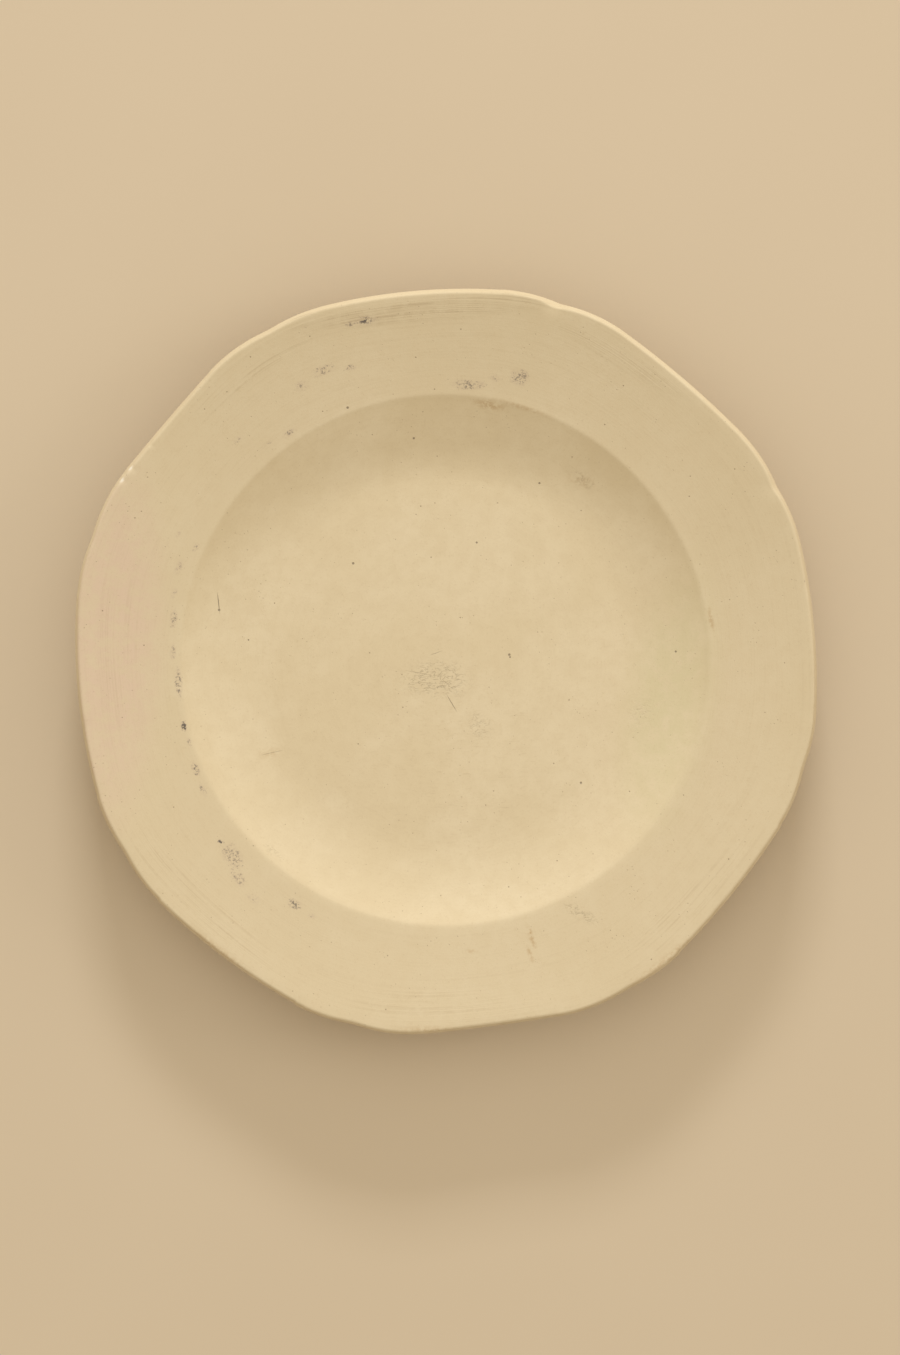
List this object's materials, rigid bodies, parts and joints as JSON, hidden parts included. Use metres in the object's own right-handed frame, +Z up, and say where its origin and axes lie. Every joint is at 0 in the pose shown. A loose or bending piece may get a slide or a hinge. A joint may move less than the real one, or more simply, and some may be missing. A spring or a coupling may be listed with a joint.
{
  "type": "plaster plate mold",
  "caption": "Plaster plate mold in one casting: flat well, concave wall, hollow flange, and an eight-sided edge with a shallow notch at each corner.",
  "frame": {"origin": "middle of the plate, on the plane that its foot ring rests on", "axes": "+Z up out of the face, +Y towards the edge that is uppermost when the plate stands on edge, +X to the right of that"},
  "size_m": [0.2527, 0.2541, 0.0256],
  "materials": {
    "plaster": "matte, dry, finely scraped and lightly stained"
  },
  "bodies": {
    "root": {"plate_mold": "plaster"}
  },
  "joints": []
}
